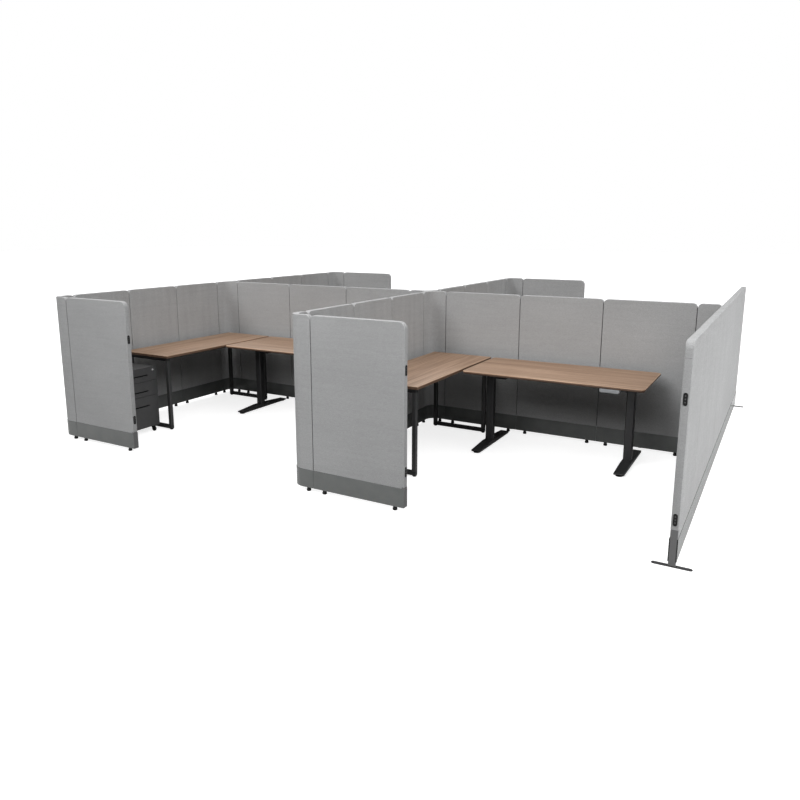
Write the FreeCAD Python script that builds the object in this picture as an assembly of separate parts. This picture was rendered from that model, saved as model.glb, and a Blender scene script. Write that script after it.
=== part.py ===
import FreeCAD, Part
import math
import os

# Cubicle cluster of four stations on a cross-shaped panel wall plan, millimetres, +Z up.
# Origin: bottom centre of the whole cluster. +X runs along the spine wall, +Y away from the front wings.

# Panel system
panel_height = 1346.0
panel_thick = 45.0
panel_corner_radius = 36.0
joint_gap = 5.0
skin_thick = 12.0
arm_reach = 186.0
side_module = 634.0
side_count = 3
right_wall_count = 7
spine_module = 773.0
spine_count = 3
wing_length = 778.0
left_bay = 2740.0
right_bay = 2716.0
corner_outer_radius = 108.0
cove_radius = 100.0
frame_bar = 25.0
frame_slack = 0.5
strip_inset = 8.0
post_side = 34.0
post_wall = 2.5
post_fit = 0.3

# Base raceway
base_bottom = 34.0
base_top = 176.0
cover_proud = 3.0
cover_thick = 4.0
cover_end_gap = 1.5
beam_bottom = 40.0
beam_top = 178.0
beam_plate = 3.0
end_cap_depth = 20.0
wing_cap_top = 184.0
wall_cap_top = 232.0

# Levelling feet, end clips and wall foot bars
foot_radius = 17.0
foot_pad_thick = 9.0
foot_stem_side = 14.0
foot_sides = 6
foot_inset = 85.0
unit_foot_inset = 60.0
clip_width = 25.0
clip_length = 76.0
clip_depth = 3.0
clip_bevel = 7.5
clip_upper_z = 1015.0
clip_lower_z = 295.0
foot_bar_half = 116.0
foot_bar_width = 30.0
foot_bar_thick = 6.0

# Worktops
top_height = 750.0
top_thick = 25.0
top_back_gap = 119.0
return_length = 1524.0
return_depth = 610.0
return_offset = 111.0
return_edge_radius = 2.5
tube = 35.0
tube_inset = 28.0
rail_height = 30.0
rail_width = 30.0
rail_inset = 120.0

# Height-adjustable desks
desk_width = 1524.0
desk_depth = 762.0
desk_offset = 752.0
desk_corner_radius = 38.0
desk_corner_flats = 6
desk_under_bevel = 9.0
leg_span = 1240.0
leg_shift = -26.0
leg_from_back = 347.0
column_width = 68.0
column_depth = 66.0
column_wall = 2.0
column_bevel = 6.0
column_head_gap = 47.0
guide_slack = 0.3
inner_bottom = 90.0
desk_foot_length = 732.0
desk_foot_width = 84.0
desk_foot_behind = 45.0
desk_foot_rise = 46.0
desk_foot_end_height = 26.0
desk_foot_nose = 12.0
desk_foot_crown = 180.0
desk_glide_radius = 29.0
desk_glide_inset = 31.0
beam_section_height = 38.0
beam_section_width = 22.0
bracket_length = 600.0
bracket_width = 70.0
bracket_thick = 6.0
motor_length = 110.0
motor_depth = 60.0
motor_height = 60.0
motor_gap = 3.0
control_length = 260.0
control_depth = 90.0
control_height = 36.0
handset_length = 150.0
handset_height = 24.0
handset_depth = 62.0
handset_proud = 15.0
handset_from_side = 261.0
handset_end_bevel = 7.0
rocker_length = 40.0
rocker_height = 10.0
rocker_depth = 7.0
rocker_proud = 1.6
rocker_slack = 0.8
rocker_pin_radius = 1.5
rocker_pin_reach = 4.0
rocker_pin_sides = 8
rocker_pin_depth = 3.0
rocker_pin_fit = 0.05

# Drawer pedestal
pedestal_front = 580.0
pedestal_depth = 500.0
pedestal_width = 400.0
pedestal_near_side = 2058.0
pedestal_bottom = 56.0
pedestal_top = 650.0
pedestal_corner_radius = 40.0
case_wall = 2.0
front_thick = 18.0
front_skin = 2.0
front_gap = 3.0
top_front_height = 138.0
middle_front_height = 145.0
pull_length = 175.0
pull_height = 14.0
pull_depth = 13.0
top_pull_drop = 78.0
pull_drop = 95.0
slide_thick = 10.0
slide_height = 34.0
slide_clear = 0.4
box_wall = 1.5
box_back_gap = 34.0
box_head_room = 22.0
box_floor_room = 20.0
lock_radius = 9.0
lock_fit = 0.08
lock_length = 26.0
lock_proud = 2.0
lock_drop = 34.0
lock_from_side = 46.0
lock_sides = 24
lock_boss_wall = 4.0
lock_slot_width = 2.0
lock_slot_length = 9.0
lock_slot_depth = 1.5
caster_front_inset = 18.0
caster_back_inset = 46.0
caster_side_inset = 62.0
caster_offset = 22.0
caster_radius = 25.0
caster_sides = 24
caster_stem_sides = 12
caster_bore_sides = 12
caster_wheel_width = 16.0
caster_axle_radius = 3.0
caster_axle_fit = 0.08
caster_cheek = 3.0
caster_cheek_gap = 1.0
caster_crown_height = 4.0
caster_stem_radius = 7.0
caster_stem_fit = 0.1
caster_socket_height = 16.0
caster_plate_gap = 0.5

overrun = 5.0
half_thick = panel_thick / 2
half_base = half_thick + cover_proud
half_beam = half_base - cover_thick
trough_floor = beam_bottom + beam_plate

left_wall = (half_base - left_bay - right_bay - foot_bar_half) / 2
middle_wall = left_wall + left_bay
right_wall = middle_wall + right_bay
wing_line = arm_reach + side_count * side_module + arm_reach
right_wall_half = right_wall_count * side_module / 2
long_arm = left_bay - arm_reach - spine_count * spine_module
column_top = top_height - top_thick - beam_section_height - column_head_gap
stations = {
    "front_left": (left_wall, -1),
    "front_right": (middle_wall, -1),
    "back_left": (left_wall, 1),
    "back_right": (middle_wall, 1),
}

up = FreeCAD.Vector(0, 0, 1)
along_x = FreeCAD.Vector(1, 0, 0)
along_y = FreeCAD.Vector(0, 1, 0)
nodes = {}


def point(x, y, z=0):
    return FreeCAD.Vector(x, y, z)


def add(name, shape):
    nodes.setdefault(name, []).extend(shape.Solids)


def block(x0, x1, y0, y1, z0, z1):
    return Part.makeBox(x1 - x0, y1 - y0, z1 - z0, point(x0, y0, z0))


def centred_block(x, y, width, depth, z0, z1):
    return block(x - width / 2, x + width / 2, y - depth / 2, y + depth / 2, z0, z1)


def turned(shape, x, y, angle):
    placed = shape.copy()
    placed.rotate(point(0, 0), up, angle)
    placed.translate(point(x, y))
    return placed


def mirrored_to(shape, side):
    """The stations behind the spine mirror the front ones, which are drawn at negative Y."""
    if side < 0:
        return shape
    return shape.mirror(point(0, 0), along_y)


def polygon_prism(corners, direction):
    wire = Part.makePolygon(corners + corners[:1])
    return Part.Face(wire).extrude(direction)


def rounded_plan(x0, x1, y0, y1, z, radius):
    """Corners of a rectangle in the XY plane whose round corners are drawn as short flats."""
    centres = [(x1 - radius, y0 + radius), (x1 - radius, y1 - radius),
               (x0 + radius, y1 - radius), (x0 + radius, y0 + radius)]
    ring = []
    for quarter, (cx, cy) in enumerate(centres):
        for step in range(desk_corner_flats + 1):
            angle = math.radians(90 * (quarter - 1 + step / desk_corner_flats))
            ring.append(point(cx + radius * math.cos(angle), cy + radius * math.sin(angle), z))
    return ring


def tombstone(length, bottom, top, radius, thick):
    """An upright slab along X, centred on Y, with its two top corners rounded."""
    y = -thick / 2
    rise = radius * (1 - math.sqrt(0.5))
    low_left = point(0, y, bottom)
    low_right = point(length, y, bottom)
    right_start = point(length, y, top - radius)
    right_middle = point(length - rise, y, top - rise)
    right_end = point(length - radius, y, top)
    left_start = point(radius, y, top)
    left_middle = point(rise, y, top - rise)
    left_end = point(0, y, top - radius)
    edges = [
        Part.LineSegment(low_left, low_right).toShape(),
        Part.LineSegment(low_right, right_start).toShape(),
        Part.Arc(right_start, right_middle, right_end).toShape(),
        Part.LineSegment(right_end, left_start).toShape(),
        Part.Arc(left_start, left_middle, left_end).toShape(),
        Part.LineSegment(left_end, low_left).toShape(),
    ]
    return Part.Face(Part.Wire(edges)).extrude(along_y * thick)


# Fabric panels and their frames

def fabric_panel(length, near_cap=0, far_cap=0):
    """A fabric-covered sleeve, open below, with a notch where a free end has a base end cap."""
    sleeve = tombstone(length, beam_top, panel_height, panel_corner_radius, panel_thick)
    inner_half = half_thick - skin_thick
    cavity = block(skin_thick, length - skin_thick, -inner_half, inner_half,
                   beam_top - overrun, panel_height - skin_thick)
    sleeve = sleeve.cut(cavity)
    wide = half_thick + overrun
    if near_cap:
        sleeve = sleeve.cut(block(-overrun, end_cap_depth, -wide, wide, beam_top - overrun, near_cap))
    if far_cap:
        start = length - end_cap_depth
        sleeve = sleeve.cut(block(start, length + overrun, -wide, wide, beam_top - overrun, far_cap))
    return sleeve


def panel_frame(length, near_cap=0, far_cap=0):
    """The metal ring that stands in the base trough and stretches the fabric sleeve."""
    inset = skin_thick + frame_slack
    near = inset + (end_cap_depth if near_cap else 0)
    far = length - inset - (end_cap_depth if far_cap else 0)
    half = half_thick - inset
    top = panel_height - inset
    ring = block(near, far, -half, half, trough_floor, top)
    window = block(near + frame_bar, far - frame_bar, -half - overrun, half + overrun,
                   trough_floor + frame_bar, top - frame_bar)
    return ring.cut(window)


def joint_strip():
    """The recessed connector that fills the slot between two neighbouring panels."""
    depth = panel_thick - 2 * strip_inset
    return centred_block(0, 0, joint_gap, depth, beam_top, panel_height - panel_corner_radius)


# Base raceway: a steel trough between two clip-on covers

def raceway_trough(length):
    outer = block(0, length, -half_beam, half_beam, beam_bottom, beam_top)
    inner_half = half_beam - beam_plate
    end = length + overrun
    return outer.cut(block(-overrun, end, -inner_half, inner_half, trough_floor, beam_top + overrun))


def base_cover(length, hand):
    """The flat skin that hides one side of the trough."""
    near = hand * half_beam
    far = hand * half_base
    return block(0, length, min(near, far), max(near, far), base_bottom, base_top)


def prism(radius, sides, height):
    ring = []
    for index in range(sides):
        angle = math.radians(360 / sides * index)
        ring.append(point(radius * math.cos(angle), radius * math.sin(angle)))
    return polygon_prism(ring, up * height)


def lying_prism(radius, sides, length, start, direction):
    """A regular prism whose axis starts at a point and lies along a direction."""
    bar = prism(radius, sides, length)
    bar.Placement = FreeCAD.Placement(start, FreeCAD.Rotation(up, direction))
    return bar


def floor_glide(radius=foot_radius):
    return prism(radius, foot_sides, foot_pad_thick)


def levelling_foot():
    """A hexagonal floor glide on a stem that reaches up to the base trough."""
    stem = centred_block(0, 0, foot_stem_side, foot_stem_side, foot_pad_thick, beam_bottom)
    return floor_glide().fuse(stem).removeSplitter()


def end_clip():
    """A black connector plug with cut corners in a free panel end, facing local +X."""
    half = clip_width / 2
    tall = clip_length / 2
    short = tall - clip_bevel
    narrow = half - clip_bevel
    corners = [
        (narrow, -tall), (half, -short), (half, short), (narrow, tall),
        (-narrow, tall), (-half, short), (-half, -short), (-narrow, -tall),
    ]
    return polygon_prism([point(0, y, z) for y, z in corners], along_x * clip_depth)


def end_cap(top, bottom):
    return centred_block(-end_cap_depth / 2, 0, end_cap_depth, 2 * half_beam, bottom, top)


def moved(shape, x, y=0, z=0):
    placed = shape.copy()
    placed.translate(point(x, y, z))
    return placed


def place_panel(name, x, y, angle, start, end, near_cap, far_cap):
    sleeve = moved(fabric_panel(end - start, near_cap, far_cap), start)
    frame = moved(panel_frame(end - start, near_cap, far_cap), start)
    add(name, turned(sleeve, x, y, angle))
    add("panel_frames", turned(frame, x, y, angle))


def place_trough(x, y, angle, start, end):
    add("raceway_troughs", turned(moved(raceway_trough(end - start), start), x, y, angle))


def place_covers(x, y, angle, start, end):
    for hand in (-1, 1):
        cover = moved(base_cover(end - start - cover_end_gap, hand), start + cover_end_gap / 2)
        add("base_covers", turned(cover, x, y, angle))


def build_run(name, x, y, angle, module, count, near_cap=0, far_cap=0):
    """A straight stretch of panels from one seam to another, with its frames, strips, base and feet."""
    length = count * module
    place_trough(x, y, angle, end_cap_depth if near_cap else 0, length - (end_cap_depth if far_cap else 0))
    for index in range(count):
        first_cap = near_cap if index == 0 else 0
        last_cap = far_cap if index == count - 1 else 0
        start = index * module
        end = start + module
        panel_start = start if first_cap else start + joint_gap / 2
        panel_end = end if last_cap else end - joint_gap / 2
        place_panel(name, x, y, angle, panel_start, panel_end, first_cap, last_cap)
        place_covers(x, y, angle, start, end)
        for along in (start + foot_inset, end - foot_inset):
            add("levelling_feet", turned(moved(levelling_foot(), along), x, y, angle))
    first = 1 if near_cap else 0
    last = count if far_cap else count + 1
    for index in range(first, last):
        add("connector_strips", turned(moved(joint_strip(), index * module), x, y, angle))


def free_end(x, y, angle, cap_top, cap_bottom):
    """The trim and the connector plugs of a free panel end that faces local +X at (x, y)."""
    add("base_end_caps", turned(end_cap(cap_top, cap_bottom), x, y, angle))
    for height in (clip_upper_z, clip_lower_z):
        add("end_clips", turned(moved(end_clip(), 0, 0, height), x, y, angle))


# Corner and junction units

def cross_outline(arms, half, bend_centre=0, round_outside=False):
    """A plan slab of panel arms that meet at the origin.

    arms maps an angle in degrees to the arm's reach. Neighbouring arms join in a concave arc about a point
    at bend_centre from both centrelines, and a lone corner is also rounded outside about that point."""
    plan = None
    for angle, reach in arms.items():
        arm = turned(block(-half, reach, -half, half, 0, 1), 0, 0, angle)
        plan = arm if plan is None else plan.fuse(arm)
    for angle in arms:
        if (angle + 90) % 360 in arms and bend_centre:
            web = block(half - overrun, bend_centre, half - overrun, bend_centre, 0, 1)
            web = web.cut(Part.makeCylinder(bend_centre - half, 1, point(bend_centre, bend_centre)))
            plan = plan.fuse(turned(web, 0, 0, angle))
            if round_outside:
                spare = block(-half - overrun, bend_centre, -half - overrun, bend_centre, 0, 1)
                spare = spare.cut(Part.makeCylinder(bend_centre + half, 1, point(bend_centre, bend_centre)))
                plan = plan.cut(turned(spare, 0, 0, angle))
    return plan.removeSplitter()


def stretched(plan, bottom, top):
    """Extrudes the plan's lowest face from bottom to top."""
    faces = [face for face in plan.Faces if face.normalAt(0, 0).z < -0.5]
    lifted = faces[0].copy()
    lifted.translate(point(0, 0, bottom))
    return lifted.extrude(up * (top - bottom))


def arm_end_spandrel():
    """What a rounded top corner takes from an arm that ends at local x = 0."""
    radius = panel_corner_radius
    corner = block(-radius, overrun, -half_thick - overrun, half_thick + overrun,
                   panel_height - radius, panel_height + overrun)
    start = point(-radius, -half_thick - 2 * overrun, panel_height - radius)
    return corner.cut(Part.makeCylinder(radius, panel_thick + 4 * overrun, start, along_y))


def build_unit(name, x, y, arms, lone_corner=False):
    """An upholstered corner or junction with its post, base trough, base covers and foot."""
    bend_centre = corner_outer_radius - half_thick if lone_corner else cove_radius + half_thick
    short_arms = {angle: reach - joint_gap / 2 for angle, reach in arms.items()}
    cover_arms = {angle: reach - cover_end_gap / 2 for angle, reach in arms.items()}
    open_arms = {angle: reach + overrun for angle, reach in arms.items()}
    skin = cross_outline(short_arms, half_thick, bend_centre, lone_corner)
    upholstery = stretched(skin, beam_top, panel_height)
    for angle, reach in short_arms.items():
        upholstery = upholstery.cut(turned(moved(arm_end_spandrel(), reach), 0, 0, angle))
    trough_bend = bend_centre if lone_corner else 0
    trough = stretched(cross_outline(arms, half_beam, trough_bend, lone_corner), beam_bottom, beam_top)
    hollow_plan = cross_outline(open_arms, half_beam - beam_plate, trough_bend, lone_corner)
    trough = trough.cut(stretched(hollow_plan, trough_floor, beam_top + overrun))
    covers = stretched(cross_outline(cover_arms, half_base, bend_centre, lone_corner), base_bottom, base_top)
    inside = cross_outline(open_arms, half_beam, bend_centre, lone_corner)
    covers = covers.cut(stretched(inside, base_bottom - overrun, base_top + overrun))
    post_at = bend_centre * (1 - math.sqrt(0.5)) if lone_corner else 0
    post_turn = 45 if lone_corner else 0
    corner_turn = [angle for angle in arms if (angle + 90) % 360 in arms][0]
    bore = post_side + 2 * post_fit
    post_top = panel_height - panel_corner_radius
    socket = centred_block(0, 0, bore, bore, beam_top - overrun, post_top + post_fit)
    post = centred_block(0, 0, post_side, post_side, trough_floor, post_top)
    hollow = post_side - 2 * post_wall
    post = post.cut(centred_block(0, 0, hollow, hollow, trough_floor + post_wall, post_top + overrun))
    upholstery = upholstery.cut(seated(socket, post_turn, post_at, corner_turn))
    add(name, moved(upholstery, x, y))
    add("raceway_troughs", moved(trough, x, y))
    add("base_corner_covers", moved(covers, x, y))
    add("corner_posts", moved(seated(post, post_turn, post_at, corner_turn), x, y))
    for angle, reach in arms.items():
        foot = turned(moved(levelling_foot(), reach - unit_foot_inset), 0, 0, angle)
        add("levelling_feet", moved(foot, x, y))


def seated(shape, own_turn, offset, corner_turn):
    """Turns a post about itself, then sets it on a corner's bend. The first arm points at corner_turn."""
    placed = turned(shape, offset, offset, own_turn)
    return turned(placed, 0, 0, corner_turn)


def build_walls():
    front_seam = -wing_line + arm_reach
    for name, wall in (("left_wall_panels", left_wall), ("middle_wall_panels", middle_wall)):
        build_run(name, wall, front_seam, 90, side_module, side_count)
        build_run(name, wall, arm_reach, 90, side_module, side_count)
        for side in (-1, 1):
            inward = -90 * side % 360
            build_unit("corner_panels", wall, side * wing_line, {0: arm_reach, inward: arm_reach}, True)
            seam = wall + arm_reach
            build_run("wing_panels", seam, side * wing_line, 0, wing_length, 1, 0, wing_cap_top)
            free_end(seam + wing_length, side * wing_line, 0, wing_cap_top, base_bottom)
    build_unit("junction_panels", left_wall, 0, {0: arm_reach, 90: arm_reach, 270: arm_reach})
    build_unit("junction_panels", middle_wall, 0,
               {0: arm_reach, 90: arm_reach, 180: long_arm, 270: arm_reach})
    build_run("right_wall_panels", right_wall, -right_wall_half, 90, side_module, right_wall_count,
              wall_cap_top, wall_cap_top)
    for side in (-1, 1):
        free_end(right_wall, side * right_wall_half, 90 * side, wall_cap_top, foot_bar_thick)
        add("wall_foot_bars", wall_foot_bar(right_wall, side * (right_wall_half - end_cap_depth / 2)))


def build_spine():
    for wall in (left_wall, middle_wall):
        build_run("spine_panels", wall + arm_reach, 0, 0, spine_module, spine_count)
    start = middle_wall + arm_reach + spine_count * spine_module
    filler_end = right_wall - half_thick - start
    place_panel("spine_panels", start, 0, 0, joint_gap / 2, filler_end, 0, 0)
    place_trough(start, 0, 0, 0, filler_end - cover_proud)
    place_covers(start, 0, 0, 0, filler_end - cover_proud)


def wall_foot_bar(x, y):
    """A flat steel bar with round ends that steadies the free end of the right wall."""
    straight = foot_bar_half - foot_bar_width / 2
    half = foot_bar_width / 2
    right_low = point(x + straight, y - half)
    right_high = point(x + straight, y + half)
    left_low = point(x - straight, y - half)
    left_high = point(x - straight, y + half)
    edges = [
        Part.LineSegment(left_low, right_low).toShape(),
        Part.Arc(right_low, point(x + foot_bar_half, y), right_high).toShape(),
        Part.LineSegment(right_high, left_high).toShape(),
        Part.Arc(left_high, point(x - foot_bar_half, y), left_low).toShape(),
    ]
    return Part.Face(Part.Wire(edges)).extrude(up * foot_bar_thick)


# Fixed return desks

def build_return(wall, side):
    x0 = wall + return_offset
    x1 = x0 + return_depth
    y1 = -top_back_gap
    y0 = y1 - return_length
    under = top_height - top_thick
    top = block(x0, x1, y0, y1, under, top_height)
    upper_edges = [edge for edge in top.Edges if edge.BoundBox.ZMin > under + top_thick / 2]
    top = top.makeChamfer(return_edge_radius, upper_edges)
    add("return_tops", mirrored_to(top, side))
    half = tube / 2
    left_x = x0 + tube_inset + half
    right_x = x1 - tube_inset - half
    for y in (y0 + tube_inset + half, y1 - tube_inset - half):
        for x in (left_x, right_x):
            post = centred_block(x, y, tube, tube, foot_pad_thick + tube, under - tube)
            add("return_leg_posts", mirrored_to(post, side))
            add("levelling_feet", mirrored_to(moved(floor_glide(), x, y), side))
        for z in (foot_pad_thick, under - tube):
            bar = block(left_x - half, right_x + half, y - half, y + half, z, z + tube)
            add("return_leg_bars", mirrored_to(bar, side))
    rail_start = y0 + tube_inset + tube
    rail_end = y1 - tube_inset - tube
    for x in (x0 + rail_inset, x1 - rail_inset):
        rail = block(x - rail_width / 2, x + rail_width / 2, rail_start, rail_end, under - rail_height, under)
        add("return_rails", mirrored_to(rail, side))


# Height-adjustable desks

def desk_top_slab(x0, y0):
    """A worktop with round corners and a bevel underneath."""
    under = top_height - top_thick
    rim = under + desk_under_bevel
    x1 = x0 + desk_width
    y1 = y0 + desk_depth
    bevel = desk_under_bevel
    low = rounded_plan(x0 + bevel, x1 - bevel, y0 + bevel, y1 - bevel, under, desk_corner_radius - bevel)
    wide = rounded_plan(x0, x1, y0, y1, rim, desk_corner_radius)
    skirt = Part.makeLoft([Part.makePolygon(ring + ring[:1]) for ring in (low, wide)], True, True)
    return polygon_prism(wide, up * (top_height - rim)).fuse(skirt).removeSplitter()


def bevelled_prism(x, y, width, depth, bevel, z0, z1):
    """An upright bar whose four corners are cut at 45 degrees."""
    half_width = width / 2
    half_depth = depth / 2
    corners = [
        (half_width - bevel, -half_depth), (half_width, bevel - half_depth),
        (half_width, half_depth - bevel), (half_width - bevel, half_depth),
        (bevel - half_width, half_depth), (-half_width, half_depth - bevel),
        (-half_width, bevel - half_depth), (bevel - half_width, -half_depth),
    ]
    outline = [point(x + dx, y + dy, z0) for dx, dy in corners]
    return polygon_prism(outline, up * (z1 - z0))


def column_tube(x, y, shrink, z0, z1):
    """A column wall that lies shrink inside the outer column's skin."""
    width = column_width - 2 * shrink
    depth = column_depth - 2 * shrink
    outer = bevelled_prism(x, y, width, depth, column_bevel, z0, z1)
    bore = bevelled_prism(x, y, width - 2 * column_wall, depth - 2 * column_wall, column_bevel,
                          z0 - overrun, z1 + overrun)
    return outer.cut(bore)


def desk_foot(x, y0, y1, column_y):
    """A long floor foot that is deepest under its column and slopes down to both noses."""
    crown_low = column_y - desk_foot_crown / 2
    crown_high = column_y + desk_foot_crown / 2
    low = foot_pad_thick
    side = x - desk_foot_width / 2
    outline = [
        point(side, y0, low + desk_foot_nose),
        point(side, y0 + desk_foot_nose, low),
        point(side, y1 - desk_foot_nose, low),
        point(side, y1, low + desk_foot_nose),
        point(side, y1, desk_foot_end_height),
        point(side, crown_high, desk_foot_rise),
        point(side, crown_low, desk_foot_rise),
        point(side, y0, desk_foot_end_height),
    ]
    return polygon_prism(outline, along_x * desk_foot_width)


def lift_frame(column_y, left_x, right_x):
    """The welded carriage under a worktop: two beams between two column heads with side brackets."""
    under = top_height - top_thick
    low = under - beam_section_height
    frame = None
    for x in (left_x, right_x):
        plate = centred_block(x, column_y, bracket_width, bracket_length, under - bracket_thick, under)
        head = centred_block(x, column_y, column_width, column_depth, low, under)
        piece = plate.fuse(head)
        frame = piece if frame is None else frame.fuse(piece)
    reach = (column_depth - beam_section_width) / 2
    for y in (column_y - reach, column_y + reach):
        beam = block(left_x, right_x, y - beam_section_width / 2, y + beam_section_width / 2, low, under)
        frame = frame.fuse(beam)
    return frame.removeSplitter()


def handset_body(x, front):
    """The height control under the front edge, with a pocket for its rocker."""
    top = top_height - top_thick
    bottom = top - handset_height
    body = block(x - handset_length / 2, x + handset_length / 2, front, front + handset_depth, bottom, top)
    lower = [edge for edge in body.Edges
             if edge.BoundBox.ZMax < bottom + handset_end_bevel and edge.BoundBox.XLength < handset_end_bevel]
    body = body.makeChamfer(handset_end_bevel, lower)
    middle = (top + bottom) / 2
    half_length = rocker_length / 2 + rocker_slack
    half_height = rocker_height / 2 + rocker_slack
    pocket = block(x - half_length, x + half_length, front - overrun, front + rocker_depth + rocker_slack,
                   middle - half_height, middle + half_height)
    return body.cut(pocket).cut(rocker_pin(x, front, rocker_pin_fit))


def rocker_pin(x, front, fit):
    """The pin that a rocker tilts on, with a few flats. A fit above 0 gives the round hole for it."""
    z = top_height - top_thick - handset_height / 2
    half_length = rocker_length / 2 + rocker_pin_reach + fit
    start = point(x - half_length, front + rocker_pin_depth, z)
    if fit:
        return Part.makeCylinder(rocker_pin_radius + fit, 2 * half_length, start, along_x)
    return lying_prism(rocker_pin_radius, rocker_pin_sides, 2 * half_length, start, along_x)


def rocker_key(x, front):
    """A key on a round pin."""
    middle = top_height - top_thick - handset_height / 2
    half = rocker_height / 2
    key = block(x - rocker_length / 2, x + rocker_length / 2, front - rocker_proud, front + rocker_depth,
                middle - half, middle + half)
    return key.fuse(rocker_pin(x, front, 0))


def build_desk(station, wall, side):
    x0 = wall + desk_offset
    y0 = -top_back_gap - desk_depth
    carriage_low = top_height - top_thick - beam_section_height
    middle_x = x0 + desk_width / 2 + leg_shift
    column_y = -top_back_gap - leg_from_back
    legs = (middle_x - leg_span / 2, middle_x + leg_span / 2)
    add("desk_top_" + station, mirrored_to(desk_top_slab(x0, y0), side))
    add("lift_frame_" + station, mirrored_to(lift_frame(column_y, *legs), side))
    foot_back = -top_back_gap + desk_foot_behind
    foot_front = foot_back - desk_foot_length
    for x, inward in zip(legs, (1, -1)):
        inner = column_tube(x, column_y, column_wall + guide_slack, inner_bottom, carriage_low)
        add("inner_columns_" + station, mirrored_to(inner, side))
        add("desk_columns", mirrored_to(column_tube(x, column_y, 0, desk_foot_rise, column_top), side))
        add("desk_feet", mirrored_to(desk_foot(x, foot_front, foot_back, column_y), side))
        for y in (foot_front + desk_glide_inset, foot_back - desk_glide_inset):
            add("levelling_feet", mirrored_to(moved(floor_glide(desk_glide_radius), x, y), side))
        motor_x = x + inward * (column_width / 2 + motor_gap + motor_length / 2)
        motor_low = carriage_low - motor_height
        motor = centred_block(motor_x, column_y, motor_length, motor_depth, motor_low, carriage_low)
        add("lift_frame_" + station, mirrored_to(motor, side))
    control = centred_block(middle_x, column_y, control_length, control_depth,
                            carriage_low - control_height, carriage_low)
    add("lift_frame_" + station, mirrored_to(control, side))
    front = y0 - handset_proud
    handset_x = x0 + desk_width - handset_from_side
    add("handset_" + station, mirrored_to(handset_body(handset_x, front), side))
    add("handset_rocker_" + station, mirrored_to(rocker_key(handset_x, front), side))


# Drawer pedestal, with its front facing +X in the front left station

def pedestal_box(width, bottom, top, radius, length, x, y):
    """A tombstone across Y that is length deep along X from x."""
    slab = tombstone(width, bottom, top, radius, length)
    return turned(slab, x + length / 2, y, 90)


def pedestal_case(back_x, case_front, near_y, casters):
    """A steel case, open in front, with a socket in its floor for each caster stem."""
    length = case_front - back_x
    radius = pedestal_corner_radius
    case = pedestal_box(pedestal_width, pedestal_bottom, pedestal_top, radius, length, back_x, near_y)
    inner_width = pedestal_width - 2 * case_wall
    inner = pedestal_box(inner_width, pedestal_bottom + case_wall, pedestal_top - case_wall,
                         radius - case_wall, length, back_x + case_wall, near_y + case_wall)
    case = case.cut(inner)
    hole_radius = caster_stem_radius + caster_stem_fit
    boss_side = 2 * (hole_radius + case_wall)
    boss_top = pedestal_bottom + caster_socket_height
    for x, y in casters:
        boss = centred_block(x, y, boss_side, boss_side, pedestal_bottom, boss_top)
        start = point(x, y, pedestal_bottom)
        socket = Part.makeCylinder(hole_radius, caster_socket_height - case_wall, start)
        case = case.fuse(boss).cut(socket)
    return case.removeSplitter()


def drawer_spans():
    """Name, lowest and highest Z of each drawer front, from the top down."""
    first = pedestal_top - top_front_height
    second = first - middle_front_height
    return [
        ("top", first + front_gap / 2, pedestal_top),
        ("middle", second + front_gap / 2, first - front_gap / 2),
        ("bottom", pedestal_bottom, second - front_gap / 2),
    ]


def front_slab(x, near_y, low, high, radius, thick, inset):
    """A slab across Y, smaller by an inset all round. A radius rounds its shoulders."""
    width = pedestal_width - 2 * inset
    if radius:
        return pedestal_box(width, low + inset, high - inset, radius - inset, thick, x, near_y + inset)
    y = near_y + inset
    return block(x, x + thick, y, y + width, low + inset, high - inset)


def pull_slot(face, middle_y, z, skin):
    """The slot of a recessed pull, larger by a skin all round."""
    half_length = pull_length / 2 + skin
    half_height = pull_height / 2 + skin
    return block(face - pull_depth - skin, face + overrun, middle_y - half_length, middle_y + half_length,
                 z - half_height, z + half_height)


def drawer_front(case_front, near_y, low, high, drop, radius):
    """A steel pan, open behind, with the cup of a recessed pull a drop below its upper edge."""
    face = case_front + front_thick
    middle_y = near_y + pedestal_width / 2
    slab = front_slab(case_front, near_y, low, high, radius, front_thick, 0)
    hollow = front_slab(case_front - front_skin, near_y, low, high, radius, front_thick, front_skin)
    cup = pull_slot(face, middle_y, high - drop, front_skin)
    return slab.cut(hollow.cut(cup)).cut(pull_slot(face, middle_y, high - drop, 0))


def drawer_box(back, front, half_width, middle_y, floor, rim):
    tray = block(back, front, middle_y - half_width, middle_y + half_width, floor, rim)
    inner_half = half_width - box_wall
    hollow = block(back + box_wall, front - box_wall, middle_y - inner_half, middle_y + inner_half,
                   floor + box_wall, rim + overrun)
    return tray.cut(hollow)


def lock_barrel(front_x, y, z):
    face = front_x + lock_proud
    barrel = lying_prism(lock_radius, lock_sides, lock_length, point(face - lock_length, y, z), along_x)
    key_slot = block(face - lock_slot_depth, face + overrun, y - lock_slot_width / 2, y + lock_slot_width / 2,
                     z - lock_slot_length / 2, z + lock_slot_length / 2)
    return barrel.cut(key_slot)


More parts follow.
